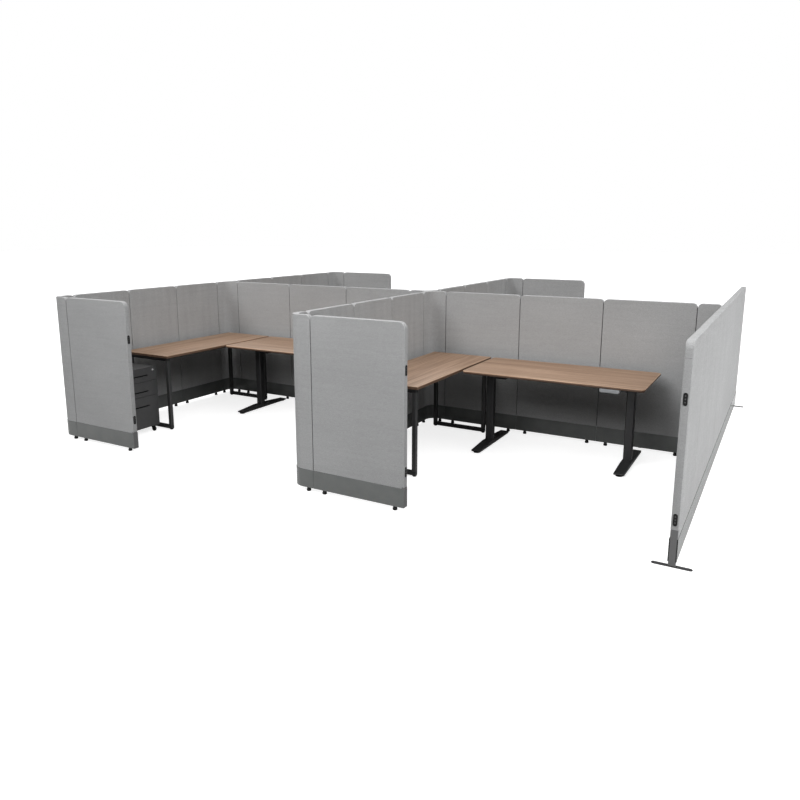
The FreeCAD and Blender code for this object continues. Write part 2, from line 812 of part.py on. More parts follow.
def caster_fork(x, y):
    """A swivel fork that trails towards +X: a stem, a crown, two cheeks and the wheel's axle."""
    crown_top = pedestal_bottom - caster_plate_gap
    crown_bottom = crown_top - caster_crown_height
    axle_x = x + caster_offset
    reach = 2 * caster_axle_radius
    back = x - 2 * caster_stem_radius
    half_inside = caster_wheel_width / 2 + caster_cheek_gap
    half_outside = half_inside + caster_cheek
    fork = block(back, axle_x + reach, y - half_outside, y + half_outside, crown_bottom, crown_top)
    stem_length = caster_socket_height - case_wall - caster_plate_gap
    fork = fork.fuse(moved(prism(caster_stem_radius, caster_stem_sides, stem_length), x, y, crown_top))
    for start in (y - half_outside, y + half_inside):
        cheek = [
            point(back, start, crown_top),
            point(axle_x - reach, start, caster_radius - reach),
            point(axle_x + reach, start, caster_radius - reach),
            point(axle_x + reach, start, crown_top),
        ]
        fork = fork.fuse(polygon_prism(cheek, along_y * caster_cheek))
    axle_start = point(axle_x, y - half_outside, caster_radius)
    axle = Part.makeCylinder(caster_axle_radius, 2 * half_outside, axle_start, along_y)
    return fork.fuse(axle).removeSplitter()


def caster_wheel(x, y):
    """A wheel with a tread of flats, and a bore whose flats clear the round axle."""
    start = point(x + caster_offset, y - caster_wheel_width / 2, caster_radius)
    wheel = lying_prism(caster_radius, caster_sides, caster_wheel_width, start, along_y)
    bore_radius = (caster_axle_radius + caster_axle_fit) / math.cos(math.pi / caster_bore_sides)
    return wheel.cut(lying_prism(bore_radius, caster_bore_sides, caster_wheel_width, start, along_y))


def build_drawers(back_x, case_front, near_y):
    far_y = near_y + pedestal_width
    middle_y = near_y + pedestal_width / 2
    inner_half = pedestal_width / 2 - case_wall
    box_half = inner_half - slide_thick - slide_clear
    lock_y = far_y - lock_from_side
    lock_z = pedestal_top - lock_drop
    for name, low, high in drawer_spans():
        is_top = name == "top"
        drop = top_pull_drop if is_top else pull_drop
        front = drawer_front(case_front, near_y, low, high, drop, pedestal_corner_radius if is_top else 0)
        rim = high - box_head_room
        if is_top:
            boss_half = lock_radius + lock_boss_wall
            boss = block(case_front, case_front + front_thick, lock_y - boss_half, lock_y + boss_half,
                         lock_z - boss_half, lock_z + boss_half)
            bore_start = point(case_front - overrun, lock_y, lock_z)
            bore = Part.makeCylinder(lock_radius + lock_fit, front_thick + 2 * overrun, bore_start, along_x)
            front = front.fuse(boss).cut(bore).removeSplitter()
            rim = lock_z - lock_radius - box_wall
        floor = low + box_floor_room
        add("drawer_front_" + name, front)
        box_back = back_x + case_wall + box_back_gap
        add("drawer_box_" + name, drawer_box(box_back, case_front, box_half, middle_y, floor, rim))
        slide_z = (floor + rim) / 2
        for start in (middle_y - inner_half, middle_y + inner_half - slide_thick):
            add("drawer_slides", block(back_x + case_wall, case_front - front_gap, start, start + slide_thick,
                                       slide_z - slide_height / 2, slide_z + slide_height / 2))
    add("lock_barrel", lock_barrel(case_front + front_thick, lock_y, lock_z))


def build_pedestal():
    front_x = left_wall + pedestal_front
    back_x = front_x - pedestal_depth
    case_front = front_x - front_thick
    near_y = -pedestal_near_side
    far_y = near_y + pedestal_width
    casters = [(x, y) for x in (back_x + caster_back_inset, case_front - caster_front_inset)
               for y in (near_y + caster_side_inset, far_y - caster_side_inset)]
    add("pedestal_case", pedestal_case(back_x, case_front, near_y, casters))
    build_drawers(back_x, case_front, near_y)
    for index, (x, y) in enumerate(casters):
        add("caster_fork_" + str(index + 1), caster_fork(x, y))
        add("caster_wheel_" + str(index + 1), caster_wheel(x, y))


def main():
    build_walls()
    build_spine()
    for station, (wall, side) in stations.items():
        build_return(wall, side)
        build_desk(station, wall, side)
    build_pedestal()
    os.makedirs("parts", exist_ok=True)
    for name, solids in nodes.items():
        shape = solids[0] if len(solids) == 1 else Part.makeCompound(solids)
        shape.exportStep("parts/" + name + ".step")
    print(len(nodes), "nodes,", sum(len(solids) for solids in nodes.values()), "solids")


main()
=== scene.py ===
import math

import bmesh
import bpy
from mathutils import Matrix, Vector


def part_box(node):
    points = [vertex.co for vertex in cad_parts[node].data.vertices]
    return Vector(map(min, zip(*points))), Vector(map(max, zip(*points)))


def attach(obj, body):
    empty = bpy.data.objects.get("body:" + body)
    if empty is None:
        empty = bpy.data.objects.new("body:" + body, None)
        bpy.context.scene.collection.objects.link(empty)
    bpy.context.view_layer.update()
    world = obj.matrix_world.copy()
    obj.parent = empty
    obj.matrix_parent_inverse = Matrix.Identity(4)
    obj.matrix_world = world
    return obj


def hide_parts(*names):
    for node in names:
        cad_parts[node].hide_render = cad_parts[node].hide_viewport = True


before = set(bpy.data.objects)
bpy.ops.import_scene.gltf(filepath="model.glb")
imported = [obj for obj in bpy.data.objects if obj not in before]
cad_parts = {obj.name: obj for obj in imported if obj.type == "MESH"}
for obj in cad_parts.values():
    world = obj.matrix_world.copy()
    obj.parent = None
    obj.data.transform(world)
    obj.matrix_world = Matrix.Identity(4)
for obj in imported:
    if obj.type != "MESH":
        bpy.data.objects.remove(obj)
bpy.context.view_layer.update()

STATIONS = ("front_left", "front_right", "back_left", "back_right")
CASTERS = ("1", "2", "3", "4")
QUARTER = math.pi / 2

# In metres: points this close are one, and the flat band that keeps the shading of a face even.
WELD = 0.00002
FLAT_MARGIN = 0.001

# Material slots of a piece whose details contrast with it
MAIN = 0
DETAIL = 1


# Shapes

def solids_of(node):
    """Lowest and highest corner of each separate solid in a CAD node."""
    mesh = bmesh.new()
    mesh.from_mesh(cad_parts[node].data)
    bmesh.ops.remove_doubles(mesh, verts=mesh.verts, dist=WELD)
    seen = set()
    boxes = []
    for start in mesh.verts:
        if start in seen:
            continue
        seen.add(start)
        group = [start]
        for vert in group:
            for edge in vert.link_edges:
                other = edge.other_vert(vert)
                if other not in seen:
                    seen.add(other)
                    group.append(other)
        low = Vector(min(vert.co[axis] for vert in group) for axis in range(3))
        high = Vector(max(vert.co[axis] for vert in group) for axis in range(3))
        boxes.append((low, high))
    mesh.free()
    return boxes


def rectangle(low_u, low_v, high_u, high_v, radius):
    """Its (u, v, radius) corners, counter-clockwise."""
    return [(low_u, low_v, radius), (high_u, low_v, radius),
            (high_u, high_v, radius), (low_u, high_v, radius)]


def outline(corners, inset, steps):
    """Points round a right-angled shape, moved inwards by inset.

    The shape is given by its (u, v, radius) corners, counter-clockwise."""
    points = []
    for index, (u, v, radius) in enumerate(corners):
        here = Vector((u, v))
        before = Vector(corners[index - 1][:2])
        after = Vector(corners[(index + 1) % len(corners)][:2])
        arriving = (here - before).normalized()
        leaving = (after - here).normalized()
        inward = Vector((-arriving.y, arriving.x)) + Vector((-leaving.y, leaving.x))
        convex = arriving.cross(leaving) > 0
        bend = max(radius - inset, WELD) if convex else radius + inset
        corner = here + inset * inward
        centre = corner - bend * arriving + bend * leaving
        for step in range(steps + 1):
            angle = QUARTER * step / steps
            spoke = math.sin(angle) * arriving - math.cos(angle) * leaving
            points.append(centre + bend * spoke)
    return points


def stacked(mesh, corners, layers, place, steps, slots=()):
    """Rings of one outline, each (inset, depth), joined by quads and closed by flat ends.

    place turns (u, v, depth) into a position. slots gives each band's material, ends last."""
    rings = []
    for inset, depth in layers:
        points = outline(corners, inset, steps)
        rings.append([mesh.verts.new(place(point.x, point.y, depth)) for point in points])
    count = len(rings[0])
    for band, (lower, upper) in enumerate(zip(rings, rings[1:])):
        for index in range(count):
            following = (index + 1) % count
            face = mesh.faces.new((lower[index], lower[following], upper[following], upper[index]))
            face.material_index = slots[band] if slots else 0
    for ring, order in ((rings[0], -1), (rings[-1], 1)):
        face = mesh.faces.new(ring[::order])
        face.material_index = slots[-1] if slots else 0


def quarter_round(radius, top, steps):
    """Layers of a rounded edge that ends at depth top, with the flat band inside it."""
    layers = []
    for step in range(steps + 1):
        angle = QUARTER * step / steps
        layers.append((radius * (1 - math.cos(angle)), top - radius + radius * math.sin(angle)))
    layers.append((radius + FLAT_MARGIN, top))
    return layers


def revolved(mesh, centre, profile, sides, axis=2, slots=()):
    """A solid of revolution about the axis through centre, from (radius, offset) pairs.

    A profile that starts away from the axis closes on itself. slots gives each band's material."""
    first = (axis + 1) % 3
    second = (axis + 2) % 3
    rings = []
    for radius, offset in profile:
        ring = []
        for side in range(sides if radius else 1):
            angle = 2 * math.pi * side / sides
            spot = centre.copy()
            spot[axis] += offset
            spot[first] += radius * math.cos(angle)
            spot[second] += radius * math.sin(angle)
            ring.append(mesh.verts.new(spot))
        rings.append(ring)
    if profile[0][0]:
        rings.append(rings[0])
    for band, (lower, upper) in enumerate(zip(rings, rings[1:])):
        for side in range(sides):
            following = (side + 1) % sides
            corners = [lower[side % len(lower)], lower[following % len(lower)],
                       upper[following % len(upper)], upper[side % len(upper)]]
            face = mesh.faces.new(list(dict.fromkeys(corners)))
            face.material_index = slots[band] if slots else 0


def added(name, data):
    """A new object in the scene."""
    item = bpy.data.objects.new(name, data)
    bpy.context.scene.collection.objects.link(item)
    return item


def finished(mesh, name, body, materials, sharp_degrees=50):
    """Makes an object of the mesh that rides on the body. Edges above that angle stay sharp."""
    bmesh.ops.recalc_face_normals(mesh, faces=mesh.faces)
    data = bpy.data.meshes.new(name)
    mesh.to_mesh(data)
    mesh.free()
    piece = added(name, data)
    for material in materials:
        data.materials.append(material)
    data.shade_smooth()
    data.set_sharp_from_angle(angle=math.radians(sharp_degrees))
    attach(piece, body)
    return piece


def softened(node, name, body, material, width, segments=2):
    """A copy of a CAD node with its sharp edges rounded by width, which stands for the node."""
    coplanar_degrees = 0.6
    sharp_degrees = 35
    mesh = bmesh.new()
    mesh.from_mesh(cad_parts[node].data)
    bmesh.ops.remove_doubles(mesh, verts=mesh.verts, dist=WELD)
    bmesh.ops.dissolve_limit(mesh, angle_limit=math.radians(coplanar_degrees),
                             verts=mesh.verts, edges=mesh.edges)
    piece = finished(mesh, name, body, [material], sharp_degrees)
    bevel = piece.modifiers.new("Bevel", "BEVEL")
    bevel.width = width
    bevel.segments = segments
    bevel.limit_method = "ANGLE"
    bevel.angle_limit = math.radians(sharp_degrees)
    bevel.use_clamp_overlap = True
    weighted = piece.modifiers.new("Weighted", "WEIGHTED_NORMAL")
    weighted.keep_sharp = False
    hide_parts(node)
    return piece


# Materials

def new_material(name, roughness, metallic=0.0, specular=0.4):
    material = bpy.data.materials.new(name)
    material.use_nodes = True
    shader = material.node_tree.nodes["Principled BSDF"]
    shader.inputs["Roughness"].default_value = roughness
    shader.inputs["Metallic"].default_value = metallic
    shader.inputs["Specular IOR Level"].default_value = specular
    return material, material.node_tree, shader


def scaled_place(tree, scale=(1.0, 1.0, 1.0)):
    """Object coordinates, scaled along each axis."""
    place = tree.nodes.new("ShaderNodeTexCoord")
    mapping = tree.nodes.new("ShaderNodeMapping")
    mapping.inputs["Scale"].default_value = scale
    tree.links.new(place.outputs["Object"], mapping.inputs["Vector"])
    return mapping.outputs["Vector"]


def noise(tree, place, scale=1.0, detail=4.0, roughness=0.55):
    node = tree.nodes.new("ShaderNodeTexNoise")
    node.inputs["Scale"].default_value = scale
    node.inputs["Detail"].default_value = detail
    node.inputs["Roughness"].default_value = roughness
    tree.links.new(place, node.inputs["Vector"])
    return node.outputs["Fac"]


def ramp(tree, source, stops):
    """The source turned into colours, from (position, colour) stops."""
    node = tree.nodes.new("ShaderNodeValToRGB")
    elements = node.color_ramp.elements
    while len(elements) < len(stops):
        elements.new(0.5)
    for element, (position, colour) in zip(elements, stops):
        element.position = position
        element.color = (*colour, 1.0)
    tree.links.new(source, node.inputs["Fac"])
    return node.outputs["Color"]


def multiplied(tree, first, second, amount=1.0):
    """The first colour, darkened or lightened by the second."""
    node = tree.nodes.new("ShaderNodeMix")
    node.data_type = "RGBA"
    node.blend_type = "MULTIPLY"
    sockets = {entry.name: entry for entry in node.inputs if entry.enabled}
    sockets["Factor"].default_value = amount
    tree.links.new(first, sockets["A"])
    tree.links.new(second, sockets["B"])
    return [entry for entry in node.outputs if entry.enabled][0]


def bump(tree, shader, height, distance, strength):
    node = tree.nodes.new("ShaderNodeBump")
    node.inputs["Distance"].default_value = distance
    node.inputs["Strength"].default_value = strength
    tree.links.new(height, node.inputs["Height"])
    tree.links.new(node.outputs["Normal"], shader.inputs["Normal"])


def combined(tree, operation, first, second):
    """Two values joined by a maths operation."""
    node = tree.nodes.new("ShaderNodeMath")
    node.operation = operation
    tree.links.new(first, node.inputs[0])
    tree.links.new(second, node.inputs[1])
    return node.outputs["Value"]


def fabric_material():
    """Light grey melange cloth: a fine weave with lighter and darker yarns."""
    weave_scale = 260.0
    material, tree, shader = new_material("panel_cloth", 0.95, specular=0.10)
    shader.inputs["Sheen Weight"].default_value = 0.06
    place = scaled_place(tree)
    melange = noise(tree, place, weave_scale, detail=3.0, roughness=0.7)
    slubs = noise(tree, scaled_place(tree, (1.0, 1.0, 5.0)), 55.0, detail=3.0)
    broad = noise(tree, place, 1.6, detail=2.0)
    weft = noise(tree, scaled_place(tree, (2.2, 2.2, 36.0)), detail=4.0, roughness=0.7)
    warp = noise(tree, scaled_place(tree, (0.4, 11.0, 0.9)), detail=3.0, roughness=0.6)
    yarn = ramp(tree, melange, [(0.30, (0.323, 0.325, 0.327)), (0.52, (0.451, 0.454, 0.457)),
                                (0.72, (0.589, 0.593, 0.597))])
    streak = ramp(tree, slubs, [(0.30, (0.86, 0.86, 0.86)), (0.70, (1.0, 1.0, 1.0))])
    colour = multiplied(tree, yarn, streak)
    for patch, low in ((broad, 0.96), (weft, 0.94), (warp, 0.91)):
        shade = ramp(tree, patch, [(0.35, (low, low, low)), (0.65, (1.0, 1.0, 1.0))])
        colour = multiplied(tree, colour, shade)
    tree.links.new(colour, shader.inputs["Base Color"])
    waves = []
    for direction in ("X", "Y", "Z"):
        wave = tree.nodes.new("ShaderNodeTexWave")
        wave.bands_direction = direction
        wave.inputs["Scale"].default_value = weave_scale
        wave.inputs["Distortion"].default_value = 4.0
        tree.links.new(place, wave.inputs["Vector"])
        waves.append(wave.outputs["Fac"])
    across = combined(tree, "ADD", waves[0], waves[1])
    weave = combined(tree, "MULTIPLY", across, waves[2])
    relief = combined(tree, "ADD", weave, melange)
    bump(tree, shader, relief, distance=0.0005, strength=0.5)
    return material


def coat_material(name, colour, roughness, spread=0.06, specular=0.4):
    """Powder coat or moulded plastic: a fine orange-peel with a slight change of tone."""
    material, tree, shader = new_material(name, roughness, specular=specular)
    place = scaled_place(tree)
    fine = noise(tree, place, 900.0, detail=2.0)
    broad = noise(tree, place, 7.0)
    dark = tuple(channel * (1 - spread) for channel in colour)
    light = tuple(channel * (1 + spread) for channel in colour)
    tone = ramp(tree, broad, [(0.35, dark), (0.65, light)])
    tree.links.new(tone, shader.inputs["Base Color"])
    bump(tree, shader, fine, distance=0.00008, strength=0.7)
    return material


def grain(tree, along, across_scale, along_scale, detail, roughness):
    """Noise that is drawn out along one axis."""
    scale = [across_scale] * 3
    scale[along] = along_scale
    return noise(tree, scaled_place(tree, scale), detail=detail, roughness=roughness)


def wood_material(name, along, light, middle, dark):
    """Walnut laminate with straight grain along one axis."""
    material, tree, shader = new_material(name, 0.5)
    boards = grain(tree, along, 14.4, 0.56, detail=5.0, roughness=0.6)
    bands = grain(tree, along, 48.0, 1.1, detail=4.0, roughness=0.65)
    streaks = grain(tree, along, 150.0, 2.5, detail=4.0, roughness=0.6)
    pores = grain(tree, along, 620.0, 22.0, detail=2.0, roughness=0.5)
    board = ramp(tree, boards, [(0.30, dark), (0.48, middle), (0.68, light)])
    band = ramp(tree, bands, [(0.36, (0.70, 0.64, 0.58)), (0.50, (1.0, 1.0, 1.0)),
                              (0.66, (1.14, 1.14, 1.14))])
    streak = ramp(tree, streaks, [(0.30, (0.70, 0.67, 0.64)), (0.55, (1.0, 1.0, 1.0)),
                                  (0.80, (1.14, 1.13, 1.12))])
    pore = ramp(tree, pores, [(0.30, (0.70, 0.66, 0.62)), (0.42, (1.0, 1.0, 1.0))])
    colour = multiplied(tree, multiplied(tree, board, band), streak)
    colour = multiplied(tree, colour, pore, 0.6)
    tree.links.new(colour, shader.inputs["Base Color"])
    relief = combined(tree, "ADD", streaks, pores)
    bump(tree, shader, relief, distance=0.00012, strength=0.5)
    return material


def bare_metal_material(name, colour):
    """Metal brushed along the horizontal."""
    material, tree, shader = new_material(name, 0.45, metallic=1.0)
    brushed = noise(tree, scaled_place(tree, (1.0, 1.0, 60.0)), 30.0, detail=3.0)
    dark = tuple(channel * 0.85 for channel in colour)
    tone = ramp(tree, brushed, [(0.35, dark), (0.65, colour)])
    tree.links.new(tone, shader.inputs["Base Color"])
    bump(tree, shader, brushed, distance=0.00003, strength=0.5)
    return material


cloth = fabric_material()

# Name, colour, roughness, spread of tone and specular level
cover_coat = coat_material("base_cover_coat", (0.118, 0.124, 0.121), 0.22, specular=0.5)
trim_plastic = coat_material("end_trim_plastic", (0.116, 0.116, 0.117), 0.6)
black_plastic = coat_material("black_plastic", (0.008, 0.008, 0.008), 0.55, 0.15, 0.2)
dark_coat = coat_material("charcoal_coat", (0.022, 0.022, 0.023), 0.42, 0.10, 0.38)
loop_coat = coat_material("loop_leg_coat", (0.040, 0.040, 0.041), 0.36, 0.10, 0.5)
bar_coat = coat_material("foot_bar_coat", (0.030, 0.030, 0.031), 0.55, 0.10, 0.2)
pedestal_coat = coat_material("pedestal_coat", (0.062, 0.062, 0.063), 0.38, 0.08)
silver_plastic = coat_material("silver_plastic", (0.30, 0.31, 0.32), 0.4, 0.04)
rubber = coat_material("wheel_rubber", (0.010, 0.010, 0.010), 0.75, 0.2, 0.2)

steel = bare_metal_material("rolled_steel", (0.45, 0.46, 0.47))
chrome = bare_metal_material("satin_chrome", (0.95, 0.95, 0.95))

# Light, middle and dark tone
walnut = ((0.356, 0.237, 0.161), (0.301, 0.196, 0.130), (0.235, 0.147, 0.094))
edge_brown = ((0.150, 0.090, 0.058), (0.120, 0.070, 0.045), (0.085, 0.048, 0.030))
# The arris tones are paler wood: a painted highlight along the upper edges of the worktops.
arris_highlight_tan = ((0.510, 0.345, 0.235), (0.450, 0.300, 0.202), (0.390, 0.252, 0.168))

wood_across = wood_material("walnut_along_x", 0, *walnut)
wood_deep = wood_material("walnut_along_y", 1, *walnut)
edge_across = wood_material("edge_band_along_x", 0, *edge_brown)
edge_deep = wood_material("edge_band_along_y", 1, *edge_brown)
arris_highlight_across = wood_material("arris_highlight_along_x", 0, *arris_highlight_tan)
arris_highlight_deep = wood_material("arris_highlight_along_y", 1, *arris_highlight_tan)


# Fabric panels

# In metres: the rounding of a panel's rim, the radii of its corners beside a neighbour, at a free
# edge and at the bottom, and how far the cloth reaches down behind the base covers.
PANEL_ROUND = 0.0045
PANEL_CORNER = 0.036
FREE_CORNER = 0.050
BOTTOM_CORNER = 0.003
TUCK = 0.0040


def cap_beside(low, high, caps):
    """The end cap that meets this box, if there is one."""
    for cap_low, cap_high in caps:
        if all(cap_low[axis] < high[axis] and cap_high[axis] > low[axis] for axis in range(3)):
            return cap_low, cap_high
    return None


def panel_corners(length, bottom, top, near_cap, far_cap):
    """Corners of a flat panel, counter-clockwise, with a step over the cap at each end.

    A cap is given as (depth along the panel, height of its top)."""
    lower = []
    for cap, end, inward in ((near_cap, 0, 1), (far_cap, length, -1)):
        if cap:
            depth, height = cap
            inner = end + inward * depth
            lower += [(end, height), (inner, height), (inner, bottom)][::inward]
        else:
            lower.append((end, bottom))
    corners = [(u, v, BOTTOM_CORNER) for u, v in lower]
    corners.append((length, top, FREE_CORNER if far_cap else PANEL_CORNER))
    corners.append((0, top, FREE_CORNER if near_cap else PANEL_CORNER))
    return corners


def fabric_panels(node):
    """A wall's flat panels as upholstered slabs with rounded edges."""
    mesh = bmesh.new()
    caps = solids_of("base_end_caps")
    for low, high in solids_of(node):
        size = high - low
        run = 0 if size.x > size.y else 1
        thin = 1 - run
        half = size[thin] / 2
        middle = (low[thin] + high[thin]) / 2
        ends = []
        for at in (low[run], high[run]):
            probe_low = low.copy()
            probe_high = high.copy()
            probe_low[run] = at - half
            probe_high[run] = at + half
            cap = cap_beside(probe_low, probe_high, caps)
            ends.append(cap and (cap[1][run] - cap[0][run], cap[1].z))

        def place(u, v, depth):
            spot = Vector((0.0, 0.0, v))
            spot[run] = low[run] + u
            spot[thin] = middle + depth
            return spot

        corners = panel_corners(size[run], low.z - TUCK, high.z, *ends)
        front = quarter_round(PANEL_ROUND, half, steps=4)
        back = [(inset, -depth) for inset, depth in reversed(front)]
        stacked(mesh, corners, back + front, place, steps=6)
    piece = finished(mesh, "cloth_" + node, "root", [cloth])
    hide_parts(node)


for wall in ("left_wall_panels", "middle_wall_panels", "right_wall_panels", "spine_panels",
             "wing_panels"):
    fabric_panels(wall)
for unit in ("corner_panels", "junction_panels"):
    cloth_unit = softened(unit, "cloth_" + unit, "root", cloth, PANEL_ROUND, segments=3)


# Base raceway, feet and end trim

for node, name, coat, width, slot in (
        ("base_covers", "raceway_covers", cover_coat, 0.0012, "base_cover"),
        ("base_corner_covers", "raceway_corner_covers", cover_coat, 0.0012, "base_cover"),
        ("base_end_caps", "raceway_end_caps", trim_plastic, 0.0020, "end_trim"),
        ("wall_foot_bars", "foot_bars", bar_coat, 0.0020, "dark_metal")):
    softened(node, name, "root", coat, width)


def cover_end_shade_strips():
    """Black strips at the ends of the base covers beside the right wall's trim: painted shade for
    the shaded hollow cover ends and the gap to the trim.
    """
    width = 0.0065
    corner = 0.001
    proud = 0.0004
    deep = 0.0015
    cover_low, cover_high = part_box("base_covers")
    # Only the right wall's trim stands as far right as the foot bars.
    bar_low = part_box("wall_foot_bars")[0]
    low, high = [box for box in solids_of("base_end_caps") if box[0].x > bar_low.x][0]
    skin = cover_high.x - high.x
    mesh = bmesh.new()
    for inner, outer in ((high.x + skin - width, high.x + skin),
                         (low.x - skin, low.x - skin + width)):
        corners = rectangle(inner, cover_low.z, outer, cover_high.z, corner)
        for front, outward in ((min(low.y, -high.y), -1), (max(high.y, -low.y), 1)):
            stacked(mesh, corners, [(0, front - outward * deep), (0, front + outward * proud)],
                    lambda u, v, depth: Vector((u, depth, v)), steps=2)
    # The black plastic here is painted shade: the hollow cover ends and the gap beside the trim lie
    # in shadow.
    piece = finished(mesh, "cover_end_shade_strips", "root", [black_plastic])


cover_end_shade_strips()


def feet():
    """Round glides with a domed edge on threaded stems."""
    flat_share = 0.86
    pad_height = 0.018
    lower_edge = 0.0015
    dome = 0.003
    least_stem = 0.002
    stem_radii = (0.0140, 0.0130)
    mesh = bmesh.new()
    for low, high in solids_of("levelling_feet"):
        centre = (low + high) / 2
        radius = max(high.x - low.x, high.y - low.y) / 2
        flat = radius * flat_share
        pad = min(pad_height, high.z)
        profile = [(0, 0), (flat, 0), (radius, lower_edge), (radius, pad - dome), (flat, pad)]
        if high.z > pad + least_stem:
            profile += [(stem_radii[0], pad + dome), (stem_radii[1], high.z), (0, high.z)]
        else:
            profile.append((0, pad))
        revolved(mesh, Vector((centre.x, centre.y, 0.0)), profile, sides=20)
    piece = finished(mesh, "round_feet", "root", [black_plastic], sharp_degrees=40)
    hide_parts("levelling_feet")


feet()


def clip(mesh, low, high):
    """An oval socket plate: a raised rim, a sunk floor and three grey pins."""
    lip = 0.0008
    rim = 0.0035
    floor_share = 0.7
    pin = 0.0042
    pin_spacing = 0.019
    pin_chamfer = 0.0012
    pin_sunk = 0.0004
    size = high - low
    facing = 0 if size.x < size.y else 1
    across = 1 - facing
    outward = -1 if facing and low.y < 0 else 1
    face = high[facing] if outward > 0 else low[facing]
    depth = size[facing]
    floor = -depth * floor_share
    half = size[across] / 2
    tall = size.z / 2
    middle = (low + high) / 2

    def place(u, v, out):
        spot = Vector((0.0, 0.0, middle.z + v))
        spot[across] = middle[across] + u
        spot[facing] = face + outward * out
        return spot

    plate = [(0, -depth), (0, -lip), (lip, 0), (rim - lip, 0), (rim, -lip), (rim, floor)]
    stacked(mesh, rectangle(-half, -tall, half, tall, half), plate, place, steps=8)
    peg = [(0, floor), (0, -pin_chamfer), (pin_chamfer, -pin_sunk)]
    for step in (-1, 0, 1):
        z = step * pin_spacing
        stacked(mesh, rectangle(-pin, z - pin, pin, z + pin, pin), peg, place, steps=4,
                slots=[DETAIL] * len(peg))


def clips():
    """The socket plates on the free panel ends."""
    mesh = bmesh.new()
    for low, high in solids_of("end_clips"):
        clip(mesh, low, high)
    piece = finished(mesh, "socket_plates", "root", [black_plastic, pedestal_coat],
                     sharp_degrees=40)
    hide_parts("end_clips")


clips()


def end_seams():
    """The fine seam across the cloth on each free edge of the right wall."""
    seam_drop = 0.097
    seam_height = 0.0016
    proud = 0.0003
    wall_low, wall_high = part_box("right_wall_panels")
    middle = (wall_low.x + wall_high.x) / 2
    half = (wall_high.x - wall_low.x) / 2 - PANEL_ROUND
    z = wall_high.z - seam_drop
    corners = rectangle(middle - half, z - seam_height / 2, middle + half, z + seam_height / 2,
                        WELD)
    mesh = bmesh.new()
    for y, outward in ((wall_low.y, -1), (wall_high.y, 1)):
        stacked(mesh, corners, [(0, y - outward * proud), (0, y + outward * proud)],
                lambda u, v, depth: Vector((u, depth, v)), steps=1)
    piece = finished(mesh, "edge_seams", "root", [trim_plastic])


end_seams()


# Worktops

# Material slots of a worktop
FACE = 0
EDGE = 1
# The arris slot carries paler wood, a painted highlight on the rounded upper edge.
ARRIS_HIGHLIGHT = 2


def worktop(station):
    """A laminate top with a painted highlight of paler wood on its rounded upper edge, a brown edge
    band and a bevel underneath.
    """
    radius = 0.038
    bevel = 0.009
    round_over = 0.006
    round_steps = 4
    node = "desk_top_" + station
    low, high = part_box(node)
    layers = [(bevel + FLAT_MARGIN, low.z), (bevel, low.z), (0, low.z + bevel)]
    layers += quarter_round(round_over, high.z, round_steps)
    slots = [EDGE] * 3 + [ARRIS_HIGHLIGHT] * round_steps + [FACE] * 2
    mesh = bmesh.new()
    stacked(mesh, rectangle(low.x, low.y, high.x, high.y, radius), layers,
            lambda u, v, z: Vector((u, v, z)), steps=10, slots=slots)
    woods = [wood_across, edge_across, arris_highlight_across]
    piece = finished(mesh, "worktop_" + station, "desk_" + station, woods, sharp_degrees=40)
    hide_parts(node)


def return_worktops():
    """Square laminate tops with a thin painted highlight of paler wood along the arris and a darker
    edge band.
    """
    corner = 0.003
    arris = 0.0022
    # The height of the painted highlight band at the top of the edge, above the edge band.
    highlight_band = 0.003
    slots = [EDGE] * 3 + [ARRIS_HIGHLIGHT] * 2 + [FACE] * 2
    mesh = bmesh.new()
    for low, high in solids_of("return_tops"):
        layers = [(arris + FLAT_MARGIN, low.z), (arris, low.z), (0, low.z + arris),
                  (0, high.z - highlight_band), (0, high.z - arris), (arris, high.z),
                  (arris + FLAT_MARGIN, high.z)]
        stacked(mesh, rectangle(low.x, low.y, high.x, high.y, corner), layers,
                lambda u, v, z: Vector((u, v, z)), steps=3, slots=slots)
    piece = finished(mesh, "return_worktops", "root", [wood_deep, edge_deep, arris_highlight_deep],
                     sharp_degrees=40)
    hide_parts("return_tops")


return_worktops()
for station in STATIONS:
    worktop(station)


# Desk and return metalwork

for node, name, coat, width in (("return_leg_posts", "loop_posts", loop_coat, 0.0025),
                                ("return_leg_bars", "loop_bars", dark_coat, 0.0025),
                                ("return_rails", "top_rails", dark_coat, 0.0015),
                                ("desk_feet", "floor_feet", dark_coat, 0.0040),
                                ("desk_columns", "outer_columns", dark_coat, 0.0012)):
    softened(node, name, "root", coat, width)
for station in STATIONS:
    body = "desk_" + station
    carriage = softened("lift_frame_" + station, "carriage_" + station, body, dark_coat,
                        width=0.0015)
    tubes = softened("inner_columns_" + station, "lift_tubes_" + station, body, dark_coat,
                     width=0.0008)
    control = softened("handset_" + station, "control_" + station, body, silver_plastic,
                       width=0.0025, segments=3)
    key = softened("handset_rocker_" + station, "rocker_key_" + station, "rocker_" + station,
                   silver_plastic, width=0.0008)


# Pedestal

cabinet = softened("pedestal_case", "cabinet", "pedestal", pedestal_coat, width=0.0010)

# Metres from each drawer front's top to the middle of its pull
PULL_DROPS = {"top": 0.078, "middle": 0.095, "bottom": 0.095}


